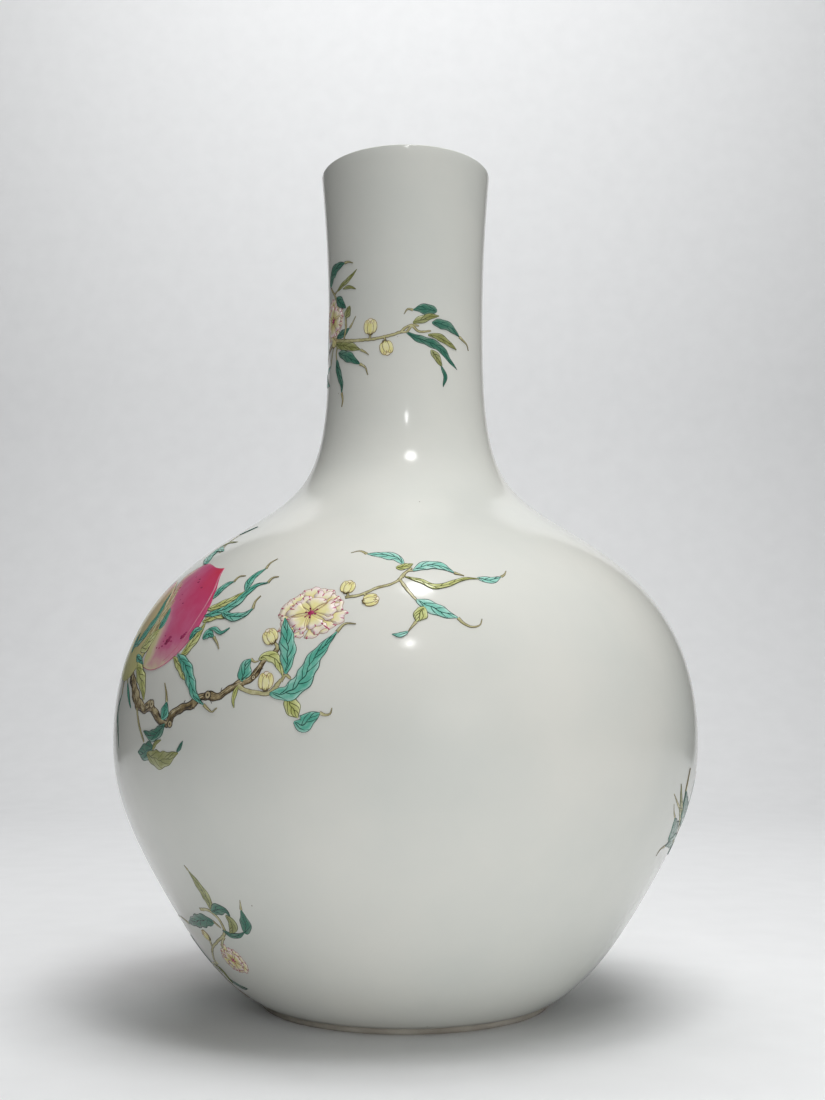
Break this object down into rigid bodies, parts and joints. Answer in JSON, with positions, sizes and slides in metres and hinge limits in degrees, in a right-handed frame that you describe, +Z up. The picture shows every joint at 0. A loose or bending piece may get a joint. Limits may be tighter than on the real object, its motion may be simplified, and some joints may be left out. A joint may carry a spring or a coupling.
{
  "type": "globular vase",
  "caption": "Large globular glazed porcelain vase with a tall slim neck, a plain slightly flared mouth and a low turned foot ring.",
  "frame": {"origin": "centre of the foot, on the surface it stands on", "axes": "+Z up, along the vase's axis of revolution; -Y faces the viewer of the picture"},
  "size_m": [0.353, 0.353, 0.515],
  "materials": {
    "glazed_porcelain": "clear glossy glaze over white porcelain, painted in overglaze enamels",
    "biscuit": "unglazed, fired, matt",
    "slip": "fired clay slip"
  },
  "bodies": {
    "root": {"foot_ring": "biscuit", "foot_luting_slip": "slip", "base_floor": "glazed_porcelain", "base_luting_slip": "slip", "lower_belly": "glazed_porcelain", "belly_luting_slip": "slip", "upper_belly": "glazed_porcelain", "shoulder_luting_slip": "slip", "neck": "glazed_porcelain"}
  },
  "joints": []
}
